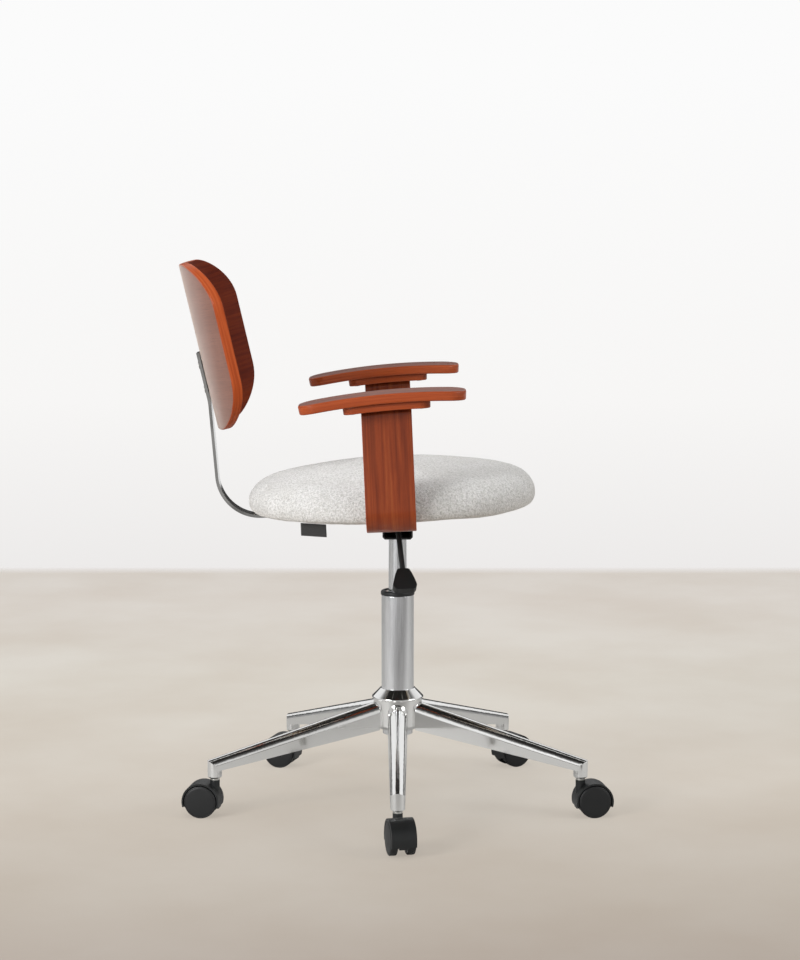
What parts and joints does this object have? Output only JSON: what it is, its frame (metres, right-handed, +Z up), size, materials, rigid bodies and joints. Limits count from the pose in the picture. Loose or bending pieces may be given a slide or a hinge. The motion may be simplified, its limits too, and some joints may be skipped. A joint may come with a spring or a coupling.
{
  "type": "desk chair",
  "caption": "Swivel desk chair: round upholstered seat, curved plywood back on a flat bar, bent plywood arms, gas lift and chromed star base on twin-wheel casters.",
  "frame": {"origin": "on the floor, on the axis of the lift column", "axes": "+Z up, the front of the seat faces -Y, the release lever is on the -X side"},
  "size_m": [0.6213, 0.6617, 0.8418],
  "materials": {
    "chromed_steel": "polished chrome plating",
    "satin_silver_tube": "satin silver lacquer",
    "bright_steel": "bright zinc plating",
    "black_painted_steel": "satin black powder coat",
    "black_plastic": "fine satin moulding",
    "black_wheel_plastic": "smooth moulding",
    "lacquered_plywood": "glossy clear lacquer on red-brown veneer",
    "seat_board_wood": "raw plywood",
    "boucle_fabric": "light grey melange weave",
    "black_cloth": "matt black cloth"
  },
  "bodies": {
    "base": {"base_hub": "chromed_steel", "base_leg_1": "chromed_steel", "base_leg_2": "chromed_steel", "base_leg_3": "chromed_steel", "base_leg_4": "chromed_steel", "base_leg_5": "chromed_steel", "column_tube": "satin_silver_tube", "column_cap": "black_plastic", "guide_bush": "black_plastic", "thrust_bearing": "bright_steel"},
    "piston": {"piston_rod": "bright_steel", "rod_clip": "bright_steel"},
    "seat": {"pressure_tube": "satin_silver_tube", "taper_socket": "black_painted_steel", "mechanism_channel": "black_painted_steel", "lever_pivot": "bright_steel", "seat_plate": "black_painted_steel", "seat_board": "seat_board_wood", "seat_dust_cover": "black_cloth", "seat_cushion": "boucle_fabric", "seat_tag": "black_cloth", "seat_bolts": "bright_steel", "arm_strap_right": "lacquered_plywood", "arm_strap_left": "lacquered_plywood", "arm_block_right": "lacquered_plywood", "arm_block_left": "lacquered_plywood", "arm_pad_right": "lacquered_plywood", "arm_pad_left": "lacquered_plywood", "arm_fixings": "bright_steel", "back_shell": "lacquered_plywood", "back_bar": "chromed_steel", "back_bolts": "bright_steel"},
    "lever": {"lever_rod": "black_painted_steel", "lever_paddle": "black_plastic"},
    "release_pin": {"release_pin": "bright_steel"},
    "caster_1": {"caster_hood_1": "black_plastic", "caster_stem_1": "bright_steel", "caster_axle_1": "bright_steel"},
    "wheel_1_left": {"caster_wheel_1_left": "black_wheel_plastic"},
    "wheel_1_right": {"caster_wheel_1_right": "black_wheel_plastic"},
    "caster_2": {"caster_hood_2": "black_plastic", "caster_stem_2": "bright_steel", "caster_axle_2": "bright_steel"},
    "wheel_2_left": {"caster_wheel_2_left": "black_wheel_plastic"},
    "wheel_2_right": {"caster_wheel_2_right": "black_wheel_plastic"},
    "caster_3": {"caster_hood_3": "black_plastic", "caster_stem_3": "bright_steel", "caster_axle_3": "bright_steel"},
    "wheel_3_left": {"caster_wheel_3_left": "black_wheel_plastic"},
    "wheel_3_right": {"caster_wheel_3_right": "black_wheel_plastic"},
    "caster_4": {"caster_hood_4": "black_plastic", "caster_stem_4": "bright_steel", "caster_axle_4": "bright_steel"},
    "wheel_4_left": {"caster_wheel_4_left": "black_wheel_plastic"},
    "wheel_4_right": {"caster_wheel_4_right": "black_wheel_plastic"},
    "caster_5": {"caster_hood_5": "black_plastic", "caster_stem_5": "bright_steel", "caster_axle_5": "bright_steel"},
    "wheel_5_left": {"caster_wheel_5_left": "black_wheel_plastic"},
    "wheel_5_right": {"caster_wheel_5_right": "black_wheel_plastic"}
  },
  "joints": [
    {"name": "seat_swivel", "type": "hinge", "parent": "base", "child": "piston", "pos_m": [0, 0, 0.2], "axis": [0, 0, 1], "continuous": true},
    {"name": "seat_height", "type": "slide", "parent": "piston", "child": "seat", "axis": [0, 0, 1], "range_m": [-0.08, 0.02]},
    {"name": "lever_lift", "type": "hinge", "parent": "seat", "child": "lever", "pos_m": [-0.04, 0, 0.45222], "axis": [0, 1, 0], "range_deg": [0, 6], "stiffness_Nm_per_rad": 8, "springref_deg": -5.73},
    {"name": "pin_press", "type": "slide", "parent": "seat", "child": "release_pin", "axis": [0, 0, -1], "range_m": [0, 0.0045]},
    {"name": "caster_swivel_1", "type": "hinge", "parent": "base", "child": "caster_1", "pos_m": [-0.293, 0, 0.07], "axis": [0, 0, 1], "continuous": true},
    {"name": "wheel_1_left_spin", "type": "hinge", "parent": "caster_1", "child": "wheel_1_left", "pos_m": [-0.31207, -0.00405, 0.025], "axis": [0.2079, -0.9781, 0], "continuous": true},
    {"name": "wheel_1_right_spin", "type": "hinge", "parent": "caster_1", "child": "wheel_1_right", "pos_m": [-0.31207, -0.00405, 0.025], "axis": [0.2079, -0.9781, 0], "continuous": true},
    {"name": "caster_swivel_2", "type": "hinge", "parent": "base", "child": "caster_2", "pos_m": [-0.09054, -0.27866, 0.07], "axis": [0, 0, 1], "continuous": true},
    {"name": "wheel_2_left_spin", "type": "hinge", "parent": "caster_2", "child": "wheel_2_left", "pos_m": [-0.08749, -0.29792, 0.025], "axis": [0.9877, 0.1564, 0], "continuous": true},
    {"name": "wheel_2_right_spin", "type": "hinge", "parent": "caster_2", "child": "wheel_2_right", "pos_m": [-0.08749, -0.29792, 0.025], "axis": [0.9877, 0.1564, 0], "continuous": true},
    {"name": "caster_swivel_3", "type": "hinge", "parent": "base", "child": "caster_3", "pos_m": [0.23704, -0.17222, 0.07], "axis": [0, 0, 1], "continuous": true},
    {"name": "wheel_3_left_spin", "type": "hinge", "parent": "caster_3", "child": "wheel_3_left", "pos_m": [0.24679, -0.18911, 0.025], "axis": [0.866, 0.5, 0], "continuous": true},
    {"name": "wheel_3_right_spin", "type": "hinge", "parent": "caster_3", "child": "wheel_3_right", "pos_m": [0.24679, -0.18911, 0.025], "axis": [0.866, 0.5, 0], "continuous": true},
    {"name": "caster_swivel_4", "type": "hinge", "parent": "base", "child": "caster_4", "pos_m": [0.23704, 0.17222, 0.07], "axis": [0, 0, 1], "continuous": true},
    {"name": "wheel_4_left_spin", "type": "hinge", "parent": "caster_4", "child": "wheel_4_left", "pos_m": [0.24242, 0.19097, 0.025], "axis": [-0.9613, 0.2756, 0], "continuous": true},
    {"name": "wheel_4_right_spin", "type": "hinge", "parent": "caster_4", "child": "wheel_4_right", "pos_m": [0.24242, 0.19097, 0.025], "axis": [-0.9613, 0.2756, 0], "continuous": true},
    {"name": "caster_swivel_5", "type": "hinge", "parent": "base", "child": "caster_5", "pos_m": [-0.09054, 0.27866, 0.07], "axis": [0, 0, 1], "continuous": true},
    {"name": "wheel_5_left_spin", "type": "hinge", "parent": "caster_5", "child": "wheel_5_left", "pos_m": [-0.08749, 0.29792, 0.025], "axis": [-0.9877, 0.1564, 0], "continuous": true},
    {"name": "wheel_5_right_spin", "type": "hinge", "parent": "caster_5", "child": "wheel_5_right", "pos_m": [-0.08749, 0.29792, 0.025], "axis": [-0.9877, 0.1564, 0], "continuous": true}
  ],
  "couplings": [
    {"joint": "pin_press", "follows": "lever_lift", "m_per_rad": 0.04}
  ]
}
